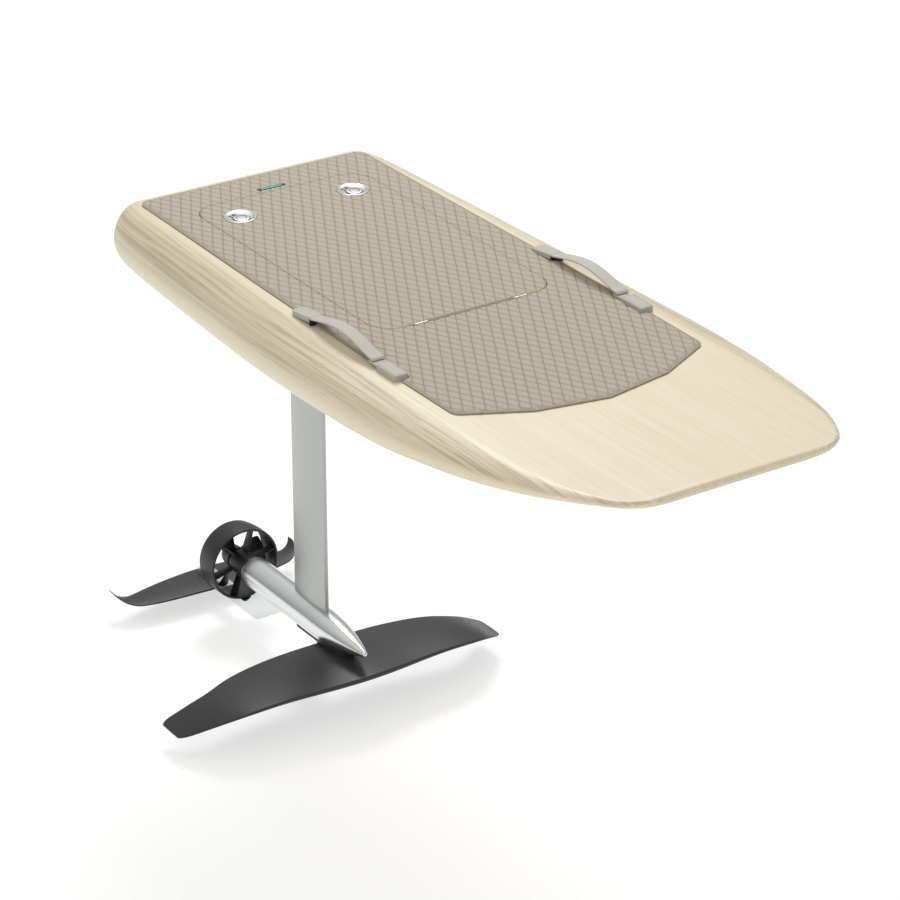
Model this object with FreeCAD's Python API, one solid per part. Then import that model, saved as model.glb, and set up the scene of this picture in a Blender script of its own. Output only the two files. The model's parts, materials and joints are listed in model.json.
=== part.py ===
import FreeCAD
import Part
import math
import os
from FreeCAD import Vector

# Electric hydrofoil surfboard, millimetres. +X is the nose, +Y is port, +Z is up.
# The origin is on the centre line, at half the board's length, at the level of the water
# when the board floats with nobody on it.

# Board
board_length = 1757.0
board_beam = 770.0
board_thickness = 134.0
draught = 38.0                  # hull bottom below the water
pad_thickness = 5.0             # above the deck
pad_recess = 0.5                # depth of the pads' seat in the deck
plate_recess = 1.0              # depth of the mast plate's seat in the bottom
deck_z = board_thickness - draught
pad_top_z = deck_z + pad_thickness
pad_seat_z = deck_z - pad_recess

# Hull stations: x as a share of half the length, half beam as a share of half the beam,
# deck drop and bottom lift in mm, shoulder (apex to deck edge) and tuck (apex to bottom edge)
# in mm, height of the rail's apex as a share of the local thickness.
hull_stations = [
    (-1.000, 0.664, 46.0, 33.0, 30.0, 26.0, 0.46),
    (-0.994, 0.738, 27.0, 20.0, 43.0, 34.0, 0.44),
    (-0.978, 0.803, 11.0, 11.0, 56.0, 44.0, 0.42),
    (-0.950, 0.853, 2.0, 6.0, 64.0, 50.0, 0.41),
    (-0.890, 0.888, 0.0, 3.0, 70.0, 54.0, 0.41),
    (-0.700, 0.917, 0.0, 0.0, 74.0, 55.0, 0.41),
    (-0.350, 0.958, 0.0, 0.0, 80.0, 55.0, 0.41),
    (0.000, 0.990, 0.0, 12.0, 87.0, 54.0, 0.42),
    (0.280, 1.000, 0.0, 32.0, 88.0, 51.0, 0.43),
    (0.480, 0.968, 0.0, 55.0, 72.0, 42.0, 0.44),
    (0.640, 0.912, 0.0, 76.0, 52.0, 32.0, 0.45),
    (0.780, 0.838, -2.0, 98.0, 32.0, 26.0, 0.47),
    (0.870, 0.767, -4.5, 113.0, 21.0, 25.0, 0.50),
    (0.930, 0.698, -6.5, 121.0, 15.0, 28.0, 0.50),
    (0.968, 0.637, -8.0, 124.5, 12.0, 28.0, 0.50),
    (0.988, 0.577, -9.0, 126.0, 10.0, 28.0, 0.50),
    (0.997, 0.515, -9.0, 126.0, 8.0, 26.0, 0.50),
    (1.000, 0.450, -7.5, 124.5, 7.0, 22.0, 0.50),
]

hull_section_steps = 20

# Hatch over the battery bay, hinged along its front edge
seam_front_x = 21.0
hatch_length = 741.0
hatch_half_width = 206.0
hatch_corner = 52.0
seam_gap = 2.0                  # between the two pads
lid_side_gap = 5.0              # between lid and rebate, under the pads
lid_thickness = 18.0
seat_gap = 0.3
gasket_height = 3.0
gasket_width = 9.0
bay_margin = 24.0               # ledge that the lid rests on
bay_floor_skin = 20.0
bay_corner = 16.0

# Battery, one closed block standing on the bay's floor
battery_length = 430.0
battery_width = 310.0
battery_height = 82.0
battery_x = -330.0
battery_corner = 18.0

# Traction pad
pad_rear_x = -821.0
pad_rear_half = 274.0
pad_mid_x = 130.0
pad_mid_half = 288.0
pad_front_x = 394.0
pad_front_half = 284.0
pad_facet_x = 462.0
pad_facet_half = 150.0
pad_tip_x = 490.0
pad_rear_corner = 22.0
pad_front_corner = 26.0

# Latches and hinges of the hatch
latch_back = 87.0               # latch centre ahead of the hatch's rear seam
latch_half_spacing = 137.0
latch_radius = 35.0
latch_rim = 5.0
latch_proud = 1.5
latch_depth = 12.0
latch_dial_radius = 15.0
latch_lever_width = 14.0
hinge_half_spacing = 116.0
hinge_axis_ahead = 3.0          # of the hatch's front seam
hinge_width = 28.0
hinge_leaf_length = 26.0
hinge_arm_lap = 2.0
hinge_arm_root = 0.4            # how far the fixed arm runs into its leaf
hinge_leaf_thickness = 2.5
hinge_knuckle_radius = 2.6
hinge_pin_radius = 1.3
hinge_running_gap = 0.05
hinge_side_gap = 0.3
hinge_axis_z = pad_top_z - 0.5
hinge_axis_x = seam_front_x + hinge_axis_ahead
notch_gap = 1.0
seam_mouth_rear = 5.5           # the front seam widens between its corners, to this far behind
seam_mouth_front = 6.2          # and this far ahead of its line
seam_mouth_half = 128.0
seam_mouth_taper = 38.0

# Status light behind the hatch
light_back = 19.0               # behind the hatch's rear seam
light_x = seam_front_x - hatch_length - light_back
light_length = 68.0
light_width = 11.0
light_bar_length = 50.0
light_bar_width = 4.0
light_bar_height = 0.6

# Carrying handles
handle_y = 283.0
handle_rear_x = -162.0
handle_front_x = 221.0
anchor_length = 66.0
anchor_width = 32.0
anchor_height = 13.0
strap_width = 26.0
strap_thickness = 3.0
strap_rise = 16.0
strap_lap = 40.0

# Mast and the plate that holds it under the hull
mast_x = -606.0
mast_chord = 137.0
mast_thickness = 17.0
mast_edge_radius = 3.0
plate_length = 250.0
plate_width = 120.0
plate_thickness = 9.0
plate_corner = 24.0
collar_height = 26.0
collar_wall = 8.0
collar_flare = 10.0

# Pod at the mast's foot. It is pitched nose up against the deck.
pod_axis_z = -870.0
pod_pitch = 1.0
pod_radius = 36.0
pod_nose = 226.0                # ahead of the mast's centre
pod_tail = 252.0                # behind it
pod_nose_length = 190.0
pod_tip_radius = 6.5
pod_tip_length = 5.0
pod_tail_round = 4.0

# Duct, stator and propeller, measured back from the mast's centre along the pod
hub_radius = 31.0
duct_front = 292.0
duct_length = 66.0
duct_outer_radius = 86.5
duct_wall = 6.0
duct_lip = 2.0
vane_count = 6
vane_first_angle = 18.0         # degrees from the top, towards port
vane_chord = 26.0
vane_thickness = 4.0
vane_lean = 10.0
vane_end_gap = 0.0
rotor_gap = 8.0
propeller_hub_radius = 27.0
propeller_hub_length = 30.0
propeller_tip_gap = 5.0
blade_count = 3
blade_first_angle = -32.0
blade_root_chord = 34.0
blade_mid_chord = 56.0
blade_tip_chord = 44.0
blade_root_pitch = 52.0         # degrees between the blade and the plane of the disc
blade_tip_pitch = 24.0
blade_thickness = 4.5
blade_edge = 0.8
cone_length = 26.0
cone_tip_radius = 8.0
shaft_radius = 6.0
shaft_running_gap = 0.05
shaft_depth = 12.0              # into the stator's hub

# Front wing stations: y, leading edge and trailing edge ahead of the mast's centre, z below
# the pod's axis, thickness
front_wing_stations = [
    (0.0, 250.0, 49.0, 45.0, 23.0),
    (100.0, 237.0, 41.0, 50.5, 20.5),
    (200.0, 225.0, 49.0, 53.5, 17.0),
    (270.0, 219.0, 64.0, 58.0, 14.0),
    (315.0, 207.0, 74.0, 67.0, 11.5),
    (350.0, 186.0, 68.0, 82.0, 9.5),
    (382.0, 159.0, 57.0, 101.0, 8.0),
    (403.0, 140.0, 52.0, 113.0, 6.0),
    (414.0, 126.0, 58.0, 118.5, 3.6),
]
# Rear wing stations, in the same columns
rear_wing_stations = [
    (0.0, -414.0, -525.0, 112.0, 12.0),
    (60.0, -417.0, -521.0, 112.0, 11.5),
    (120.0, -421.0, -512.0, 112.0, 10.5),
    (170.0, -427.0, -500.0, 111.5, 9.0),
    (200.0, -434.0, -492.0, 110.0, 8.0),
    (220.0, -448.0, -494.0, 106.0, 7.0),
    (233.0, -466.0, -502.0, 99.0, 5.5),
    (240.0, -488.0, -511.0, 90.0, 3.0),
]
wing_edge = 1.0                 # thickness of a trailing edge
wing_crest = 0.38               # place of the thickest point, as a share of the chord

# Saddle between pod and front wing
saddle_front = 160.0
saddle_rear = 40.0
saddle_tongue_rear = -46.0      # the tongue runs back along the pod's belly
saddle_tongue_depth = 4.0       # below the pod
saddle_half_width = 18.0
saddle_top_below_axis = 16.0
saddle_corner = 12.0

# Boom from the pod's underside, under the duct and back to the rear wing
boom_half_width = 13.0
boom_leg_front = 96.0           # behind the mast's centre, where the leg's front edge leaves the pod
boom_leg_rear = 210.0
boom_elbow = 262.0
boom_top_below_axis = duct_outer_radius + 1.0
boom_bottom_below_axis = duct_outer_radius + 25.0
boom_end = 500.0
boom_edge_radius = 5.0

parts = {}


def box(x0, x1, y0, y1, z0, z1):
    return Part.makeBox(x1 - x0, y1 - y0, z1 - z0, Vector(x0, y0, z0))


def rounded_block(x0, x1, y0, y1, z0, z1, corner):
    block = box(x0, x1, y0, y1, z0, z1)
    uprights = [e for e in block.Edges if abs(e.Vertexes[0].Z - e.Vertexes[-1].Z) > 1e-6]
    return block.makeFillet(corner, uprights)


def rounded_outline(corners):
    # corners: (x, y, radius), in order. A radius of 0 leaves the corner sharp.
    points = [Vector(x, y, 0) for x, y, radius in corners]
    edges = []
    starts = []
    ends = []
    middles = []
    for i, (x, y, radius) in enumerate(corners):
        here = points[i]
        to_last = (points[i - 1] - here).normalize()
        to_next = (points[(i + 1) % len(points)] - here).normalize()
        half = to_last.getAngle(to_next) / 2
        cut = radius / math.tan(half)
        starts.append(here + to_last * cut)
        ends.append(here + to_next * cut)
        inward = (to_last + to_next).normalize()
        middles.append(here + inward * (radius / math.sin(half) - radius))
    for i, (x, y, radius) in enumerate(corners):
        if radius > 0:
            edges.append(Part.Arc(starts[i], middles[i], ends[i]).toShape())
        following = (i + 1) % len(corners)
        if ends[i].distanceToPoint(starts[following]) > 1e-6:
            edges.append(Part.LineSegment(ends[i], starts[following]).toShape())
    return Part.Face(Part.Wire(edges))


def plate(corners, z0, z1):
    face = rounded_outline(corners)
    face.translate(Vector(0, 0, z0))
    return face.extrude(Vector(0, 0, z1 - z0))


def mirrored(shape):
    return shape.mirror(Vector(0, 0, 0), Vector(0, 1, 0))


def pod_frame(shape):
    # The pod's parts are drawn level, from the mast's centre on the pod's axis.
    placed = shape.copy()
    placed.rotate(Vector(0, 0, 0), Vector(0, 1, 0), -pod_pitch)
    placed.translate(Vector(mast_x, 0, pod_axis_z))
    return placed


def quarter_ellipse(start, corner, end):
    # Level at one end and upright at the other, inside the corner where the two lines meet
    curve = Part.BezierCurve()
    curve.setPoles([start, corner, end])
    curve.setWeight(2, math.sqrt(0.5))
    return curve.toShape()


def station_slope(column, i):
    # Slope at one row of the table that keeps every stretch free of overshoot
    if i == 0 or i == len(hull_stations) - 1:
        return 0.0
    last, here, following = hull_stations[i - 1:i + 2]
    before = (here[column] - last[column]) / (here[0] - last[0])
    after = (following[column] - here[column]) / (following[0] - here[0])
    if before * after <= 0:
        return 0.0
    return 2 * before * after / (before + after)


def station_at(along):
    # Row of the table for any place along the hull, by cubic curves between its rows
    i = max(k for k in range(len(hull_stations) - 1) if hull_stations[k][0] <= along + 1e-9)
    low, high = hull_stations[i], hull_stations[i + 1]
    span = high[0] - low[0]
    t = (along - low[0]) / span
    row = [along]
    for column in range(1, len(low)):
        m0 = station_slope(column, i) * span
        m1 = station_slope(column, i + 1) * span
        row.append((2 * t**3 - 3 * t**2 + 1) * low[column] + (t**3 - 2 * t**2 + t) * m0
                   + (3 * t**2 - 2 * t**3) * high[column] + (t**3 - t**2) * m1)
    return row


def hull_section(station):
    along, beam_share, drop, lift, shoulder, tuck, apex_share = station
    x = along * board_length / 2
    half = beam_share * board_beam / 2
    top = deck_z - drop
    bottom = -draught + lift
    apex_z = bottom + apex_share * (top - bottom)
    apex = Vector(x, half, apex_z)
    deck_edge = Vector(x, half - shoulder, top)
    keel_edge = Vector(x, half - tuck, bottom)
    deck_corner = Vector(x, half, top)
    keel_corner = Vector(x, half, bottom)

    def other(p):
        return Vector(p.x, -p.y, p.z)

    edges = [
        Part.LineSegment(other(deck_edge), deck_edge).toShape(),
        quarter_ellipse(deck_edge, deck_corner, apex),
        quarter_ellipse(apex, keel_corner, keel_edge),
        Part.LineSegment(keel_edge, other(keel_edge)).toShape(),
        quarter_ellipse(other(keel_edge), other(keel_corner), other(apex)),
        quarter_ellipse(other(apex), other(deck_corner), other(deck_edge)),
    ]
    return Part.Wire(edges)


# Hatch outline: the seam's centre line, moved in or out by an offset
def hatch_corners(offset):
    rear = seam_front_x - hatch_length
    half = hatch_half_width + offset
    corner = hatch_corner + offset
    return [
        (rear - offset, -half, corner),
        (seam_front_x + offset, -half, corner),
        (seam_front_x + offset, half, corner),
        (rear - offset, half, corner),
    ]


lid_bottom_z = deck_z - lid_thickness
seat_z = lid_bottom_z - seat_gap
ledge_z = seat_z - gasket_height
bay_floor_z = -draught + bay_floor_skin
bay_half_width = hatch_half_width - bay_margin
bay_front_x = seam_front_x - bay_margin
bay_rear_x = seam_front_x - hatch_length + bay_margin
hatch_rear_x = seam_front_x - hatch_length
latch_x = hatch_rear_x + latch_back


def pad_outline(grow):
    return [
        (pad_rear_x - grow, -pad_rear_half - grow, pad_rear_corner),
        (pad_mid_x, -pad_mid_half - grow, 0),
        (pad_front_x, -pad_front_half - grow, pad_front_corner),
        (pad_facet_x + grow, -pad_facet_half - grow, 0),
        (pad_tip_x + grow, 0, 0),
        (pad_facet_x + grow, pad_facet_half + grow, 0),
        (pad_front_x, pad_front_half + grow, pad_front_corner),
        (pad_mid_x, pad_mid_half + grow, 0),
        (pad_rear_x - grow, pad_rear_half + grow, pad_rear_corner),
    ]


def make_hull():
    # Sections lie closer together towards the rounded ends
    places = [-math.cos(math.pi * i / hull_section_steps) for i in range(hull_section_steps + 1)]
    body = Part.makeLoft([hull_section(station_at(place)) for place in places], True, False)
    rebate = plate(hatch_corners(lid_side_gap - seam_gap / 2), ledge_z, deck_z + board_thickness)
    bay = rounded_block(bay_rear_x, bay_front_x, -bay_half_width, bay_half_width,
                        bay_floor_z, deck_z, bay_corner)
    seat = plate(pad_outline(pad_recess), pad_seat_z, deck_z + board_thickness)
    mast_seat = rounded_block(mast_x - plate_length / 2 - notch_gap, mast_x + plate_length / 2 + notch_gap,
                              -plate_width / 2 - notch_gap, plate_width / 2 + notch_gap,
                              -board_thickness, plate_recess - draught, plate_corner)
    return body.cut(rebate).cut(bay).cut(seat).cut(mast_seat)


def hinge_sites():
    return [("port", hinge_half_spacing), ("starboard", -hinge_half_spacing)]


def hinge_pocket(y, towards):
    # Room under a pad for one hinge leaf: towards is +1 ahead of the seam and -1 behind it.
    far = hinge_axis_x + towards * (hinge_leaf_length + notch_gap)
    half = hinge_width / 2 + notch_gap
    return box(min(far, hinge_axis_x), max(far, hinge_axis_x), y - half, y + half,
               pad_seat_z - 1, pad_seat_z + hinge_leaf_thickness + seat_gap)


def seam_mouth():
    # The wide part of the front seam, where the hinges' knuckles lie
    rear = seam_front_x - seam_mouth_rear
    front = seam_front_x + seam_mouth_front
    wide = seam_mouth_half
    end = wide + seam_mouth_taper
    corners = [
        (rear, -wide, 0), (seam_front_x - seam_gap / 2, -end, 0), (seam_front_x + seam_gap / 2, -end, 0),
        (front, -wide, 0), (front, wide, 0), (seam_front_x + seam_gap / 2, end, 0),
        (seam_front_x - seam_gap / 2, end, 0), (rear, wide, 0),
    ]
    return plate(corners, pad_seat_z - 1, pad_top_z + 1)


def anchor_sites():
    return [
        ("rear", handle_rear_x, handle_rear_x + anchor_length),
        ("front", handle_front_x - anchor_length, handle_front_x),
    ]


def make_deck_pad():
    pad = plate(pad_outline(0), pad_seat_z, pad_top_z)
    pad = pad.cut(plate(hatch_corners(seam_gap / 2), pad_seat_z - 1, pad_top_z + 1)).cut(seam_mouth())
    for side, y in hinge_sites():
        pad = pad.cut(hinge_pocket(y, 1))
    pad = pad.cut(light_block(notch_gap / 2, pad_seat_z - 1, pad_top_z + 1))
    for side in (1, -1):
        for name, x0, x1 in anchor_sites():
            y0 = side * handle_y - anchor_width / 2 - notch_gap
            pad = pad.cut(box(x0 - notch_gap, x1 + notch_gap, y0, y0 + anchor_width + 2 * notch_gap,
                              pad_seat_z - 1, pad_top_z + 1))
    return pad


def light_block(grow, z0, z1):
    half_length = light_length / 2 + grow
    half_width = light_width / 2 + grow
    return rounded_block(light_x - half_width, light_x + half_width, -half_length, half_length,
                         z0, z1, half_width - 0.01)


def make_status_light():
    parts["status_light"] = light_block(0, pad_seat_z, pad_top_z)
    bar = rounded_block(light_x - light_bar_width / 2, light_x + light_bar_width / 2,
                        -light_bar_length / 2, light_bar_length / 2,
                        pad_top_z, pad_top_z + light_bar_height, light_bar_width / 2 - 0.01)
    parts["status_bar"] = bar


def make_gasket():
    outer = plate(hatch_corners(-bay_margin + gasket_width + 4), ledge_z, seat_z)
    inner = plate(hatch_corners(-bay_margin + 4), ledge_z - 1, seat_z + 1)
    return outer.cut(inner)


def make_hatch():
    lid = plate(hatch_corners(-seam_gap / 2 - (lid_side_gap - seam_gap) / 2), lid_bottom_z, pad_seat_z)
    pad = plate(hatch_corners(-seam_gap / 2), pad_seat_z, pad_top_z).cut(seam_mouth())
    for side, y in hinge_sites():
        pad = pad.cut(hinge_pocket(y, -1))
    for side in (1, -1):
        centre = Vector(latch_x, side * latch_half_spacing, 0)
        well = Part.makeCylinder(latch_radius + notch_gap / 2, latch_depth + pad_thickness + 1,
                                 centre + Vector(0, 0, deck_z - latch_depth))
        seat = Part.makeCylinder(latch_radius, latch_depth + 1, centre + Vector(0, 0, deck_z - latch_depth))
        pad = pad.cut(well)
        lid = lid.cut(seat)
    parts["hatch_lid"] = lid
    parts["hatch_pad"] = pad


def make_latches():
    for name, side in (("port", 1), ("starboard", -1)):
        centre = Vector(latch_x, side * latch_half_spacing, 0)
        floor_z = deck_z - latch_depth
        top_z = pad_top_z + latch_proud
        cup_profile = [
            (0, floor_z), (latch_radius, floor_z), (latch_radius, top_z - 1),
            (latch_radius - 1, top_z), (latch_radius - latch_rim, top_z - 0.6),
            (latch_radius - latch_rim - 5, floor_z + 4), (0, floor_z + 4),
        ]
        points = [Vector(r, 0, z) for r, z in cup_profile]
        wire = Part.makePolygon(points + [points[0]])
        cup = Part.Face(wire).revolve(Vector(0, 0, 0), Vector(0, 0, 1), 360)
        cup.translate(centre)
        parts["latch_cup_" + name] = cup
        dial = Part.makeCylinder(latch_dial_radius, top_z - 3 - (floor_z + 4),
                                 centre + Vector(0, 0, floor_z + 4))
        reach = latch_radius - latch_rim - 7
        lever = rounded_block(-reach, reach, -latch_lever_width / 2, latch_lever_width / 2,
                              floor_z + 7, top_z - 1.5, latch_lever_width / 2 - 0.5)
        lever.rotate(Vector(0, 0, 0), Vector(0, 0, 1), side * 60)
        lever.translate(centre)
        parts["latch_lever_" + name] = dial.fuse(lever)


def make_hinges():
    knuckle = hinge_width / 3
    axis_x = hinge_axis_x
    for name, y in hinge_sites():
        def barrel(y0, y1, radius):
            return Part.makeCylinder(radius, y1 - y0, Vector(axis_x, y0, hinge_axis_z), Vector(0, 1, 0))

        middle0 = y - knuckle / 2
        middle1 = y + knuckle / 2
        low_y = y - hinge_width / 2
        high_y = y + hinge_width / 2
        leaf_top = pad_seat_z + hinge_leaf_thickness
        arm_low = hinge_axis_z - hinge_knuckle_radius
        # Fixed half: leaf on the deck, middle knuckle, and the pin
        leaf = box(axis_x + hinge_knuckle_radius, axis_x + hinge_leaf_length,
                   low_y, high_y, pad_seat_z, leaf_top)
        arm = box(axis_x, axis_x + hinge_knuckle_radius + hinge_arm_root, middle0, middle1,
                  pad_seat_z, hinge_axis_z)
        arm = arm.cut(box(axis_x - 1, axis_x + hinge_knuckle_radius, low_y, high_y, 0, arm_low))
        fixed = leaf.fuse(arm).fuse(barrel(middle0, middle1, hinge_knuckle_radius))
        fixed = fixed.fuse(barrel(low_y, high_y, hinge_pin_radius))
        parts["hinge_base_" + name] = fixed.removeSplitter()
        # Moving half: leaf on the lid and two knuckles that turn on the pin
        leaf_front = axis_x - hinge_knuckle_radius - 1
        leaf = box(axis_x - hinge_leaf_length, leaf_front, low_y, high_y, pad_seat_z, leaf_top)
        moving = leaf
        for y0, y1 in ((low_y, middle0 - hinge_side_gap), (middle1 + hinge_side_gap, high_y)):
            arm = box(leaf_front - hinge_arm_lap, axis_x, y0, y1, arm_low, hinge_axis_z)
            moving = moving.fuse(arm).fuse(barrel(y0, y1, hinge_knuckle_radius))
        moving = moving.cut(barrel(low_y - 1, high_y + 1, hinge_pin_radius + hinge_running_gap))
        parts["hinge_leaf_" + name] = moving.removeSplitter()


def make_handles():
    for name, side in (("port", 1), ("starboard", -1)):
        y = side * handle_y
        for end, x0, x1 in anchor_sites():
            block = rounded_block(x0, x1, y - anchor_width / 2, y + anchor_width / 2,
                                  deck_z - 30, deck_z + anchor_height, 7)
            parts["anchor_%s_%s" % (end, name)] = block.cut(parts["hull"])
        top = deck_z + anchor_height
        inner0 = handle_rear_x + strap_lap
        inner1 = handle_front_x - strap_lap
        middle = (inner0 + inner1) / 2
        low = [Vector(handle_rear_x + 6, 0, top), Vector(inner0, 0, top), Vector(middle, 0, top + strap_rise),
               Vector(inner1, 0, top), Vector(handle_front_x - 6, 0, top)]
        high = [p + Vector(0, 0, strap_thickness) for p in low]
        edges = [
            Part.LineSegment(low[0], low[1]).toShape(),
            Part.Arc(low[1], low[2], low[3]).toShape(),
            Part.LineSegment(low[3], low[4]).toShape(),
            Part.LineSegment(low[4], high[4]).toShape(),
            Part.LineSegment(high[4], high[3]).toShape(),
            Part.Arc(high[3], high[2], high[1]).toShape(),
            Part.LineSegment(high[1], high[0]).toShape(),
            Part.LineSegment(high[0], low[0]).toShape(),
        ]
        strap = Part.Face(Part.Wire(edges)).extrude(Vector(0, strap_width, 0))
        strap.translate(Vector(0, y - strap_width / 2, 0))
        parts["strap_" + name] = strap


def foil_outline(lead, trail, thickness, edge, crest_share, grow=0.0):
    # Symmetric section in x and z about z 0: round nose, one arc a side, thin trailing edge
    half = thickness / 2 + grow
    lead = lead + grow
    trail = trail - grow
    chord = lead - trail
    nose = half * 0.55
    crest_x = lead - crest_share * chord
    nose_x = lead - nose
    top = [Vector(nose_x, 0, nose), Vector(crest_x, 0, half), Vector(trail, 0, edge / 2)]
    low = [Vector(p.x, 0, -p.z) for p in top]
    edges = [
        Part.Arc(low[0], Vector(lead, 0, 0), top[0]).toShape(),
        Part.Arc(top[0], top[1], top[2]).toShape(),
        Part.LineSegment(top[2], low[2]).toShape(),
        Part.Arc(low[2], low[1], low[0]).toShape(),
    ]
    return Part.Wire(edges)


def upright_section(half_chord, thickness, z, grow):
    # The mast's section laid level at height z
    wire = foil_outline(half_chord, -half_chord, thickness, mast_edge_radius, 0.42, grow)
    wire.rotate(Vector(0, 0, 0), Vector(1, 0, 0), 90)
    wire.translate(Vector(mast_x, 0, z))
    return wire


def make_mast():
    plate_z = plate_recess - draught - plate_thickness
    parts["mast_plate"] = rounded_block(mast_x - plate_length / 2, mast_x + plate_length / 2,
                                        -plate_width / 2, plate_width / 2,
                                        plate_z, plate_recess - draught, plate_corner)
    half_chord = mast_chord / 2
    section = Part.Face(upright_section(half_chord, mast_thickness, plate_z, 0))
    mast = section.extrude(Vector(0, 0, pod_axis_z - plate_z))
    parts["mast"] = mast.cut(parts["pod"])
    collar = Part.makeLoft([
        upright_section(half_chord, mast_thickness, plate_z, collar_wall + collar_flare),
        upright_section(half_chord, mast_thickness, plate_z - collar_height / 2, collar_wall),
        upright_section(half_chord, mast_thickness, plate_z - collar_height, collar_wall * 0.75),
    ], True, False)
    parts["mast_collar"] = collar.cut(section.extrude(Vector(0, 0, -board_thickness)))


def make_pod():
    shoulder_x = pod_nose - pod_nose_length
    tip_x = pod_nose - pod_tip_length
    rise = pod_radius - pod_tip_radius
    run = tip_x - shoulder_x
    ogive_radius = (run * run + rise * rise) / (2 * rise)
    half_turn = math.asin(run / ogive_radius) / 2
    ogive_middle = Vector(shoulder_x + ogive_radius * math.sin(half_turn), 0,
                          pod_radius - ogive_radius * (1 - math.cos(half_turn)))
    ball = (pod_tip_length**2 + pod_tip_radius**2) / (2 * pod_tip_length)
    ball_x = pod_nose - ball
    tip_turn = math.atan2(pod_tip_radius, tip_x - ball_x) / 2
    tail_turn = pod_tail_round * (1 - math.sqrt(0.5))
    rear = Vector(-pod_tail, 0, pod_radius - pod_tail_round)
    rear_top = Vector(-pod_tail + pod_tail_round, 0, pod_radius)
    edges = [
        Part.LineSegment(Vector(-pod_tail, 0, 0), rear).toShape(),
        Part.Arc(rear, Vector(-pod_tail + tail_turn, 0, pod_radius - tail_turn), rear_top).toShape(),
        Part.LineSegment(rear_top, Vector(shoulder_x, 0, pod_radius)).toShape(),
        Part.Arc(Vector(shoulder_x, 0, pod_radius), ogive_middle, Vector(tip_x, 0, pod_tip_radius)).toShape(),
        Part.Arc(Vector(tip_x, 0, pod_tip_radius),
                 Vector(ball_x + ball * math.cos(tip_turn), 0, ball * math.sin(tip_turn)),
                 Vector(pod_nose, 0, 0)).toShape(),
        Part.LineSegment(Vector(pod_nose, 0, 0), Vector(-pod_tail, 0, 0)).toShape(),
    ]
    body = Part.Face(Part.Wire(edges)).revolve(Vector(0, 0, 0), Vector(1, 0, 0), 360)
    parts["pod"] = pod_frame(body)


def ring(profile):
    # profile: (x, radius) corners, turned about the pod's axis
    points = [Vector(x, 0, r) for x, r in profile]
    face = Part.Face(Part.makePolygon(points + [points[0]]))
    return face.revolve(Vector(0, 0, 0), Vector(1, 0, 0), 360)


def make_duct():
    front = -duct_front
    rear = front - duct_length
    inner = duct_outer_radius - duct_wall
    outer_front = Vector(front, 0, duct_outer_radius - duct_lip)
    edges = [
        Part.Arc(Vector(front - 2, 0, inner), Vector(front + 1, 0, duct_outer_radius - duct_wall / 2),
                 Vector(front - 3, 0, duct_outer_radius - 0.5)).toShape(),
        Part.Arc(Vector(front - 3, 0, duct_outer_radius - 0.5),
                 Vector(front - duct_length * 0.4, 0, duct_outer_radius),
                 Vector(rear, 0, duct_outer_radius - duct_wall + 1.5)).toShape(),
        Part.LineSegment(Vector(rear, 0, duct_outer_radius - duct_wall + 1.5),
                         Vector(rear, 0, inner)).toShape(),
        Part.LineSegment(Vector(rear, 0, inner), Vector(front - 2, 0, inner)).toShape(),
    ]
    shell = Part.Face(Part.Wire(edges)).revolve(Vector(0, 0, 0), Vector(1, 0, 0), 360)
    parts["duct"] = pod_frame(shell)
    # Stator: a hub behind the pod with vanes out to the duct's wall
    hub_rear = front - vane_chord
    hub = ring([(-pod_tail, 0), (-pod_tail, hub_radius), (hub_rear, propeller_hub_radius + 1), (hub_rear, 0)])
    hub = hub.cut(Part.makeCylinder(shaft_radius + shaft_running_gap, shaft_depth + 2,
                                    Vector(hub_rear - 1, 0, 0), Vector(1, 0, 0)))
    vane = vane_solid(front)
    bore = Part.makeCylinder(inner - vane_end_gap, duct_length * 2, Vector(rear - duct_length / 2, 0, 0),
                             Vector(1, 0, 0))
    stator = hub
    for i in range(vane_count):
        turned = vane.copy()
        turned.rotate(Vector(0, 0, 0), Vector(1, 0, 0), -(vane_first_angle + i * 360.0 / vane_count))
        stator = stator.fuse(turned.common(bore))
    parts["stator"] = pod_frame(stator.removeSplitter())


def vane_solid(front):
    # Upright vane, thin lens in section, cut to length by the duct's bore
    reach = duct_outer_radius + duct_wall
    sections = []
    for z, lean in ((hub_radius * 0.5, vane_lean), (reach, -vane_lean)):
        wire = foil_outline(front, front - vane_chord, vane_thickness, 1.2, 0.4)
        wire.rotate(Vector(front - vane_chord / 2, 0, 0), Vector(1, 0, 0), 90)
        wire.rotate(Vector(front - vane_chord / 2, 0, 0), Vector(0, 0, 1), lean)
        wire.translate(Vector(0, 0, z))
        sections.append(wire)
    return Part.makeLoft(sections, True, True)


def blade_section(radius, chord, pitch, thickness):
    # Lens section across the blade, turned to its pitch, at a radius above the axis
    half = chord / 2
    top = [Vector(-half, 0, 0) + Vector(0, 0, blade_edge / 2), Vector(0, 0, thickness / 2),
           Vector(half, 0, blade_edge / 2)]
    low = [Vector(p.x, 0, -p.z) for p in top]
    edges = [
        Part.Arc(top[0], top[1], top[2]).toShape(),
        Part.LineSegment(top[2], low[2]).toShape(),
        Part.Arc(low[2], low[1], low[0]).toShape(),
        Part.LineSegment(low[0], top[0]).toShape(),
    ]
    wire = Part.Wire(edges)
    wire.rotate(Vector(0, 0, 0), Vector(1, 0, 0), 90)
    wire.rotate(Vector(0, 0, 0), Vector(0, 0, 1), 90 - pitch)
    wire.translate(Vector(0, 0, radius))
    return wire


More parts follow.
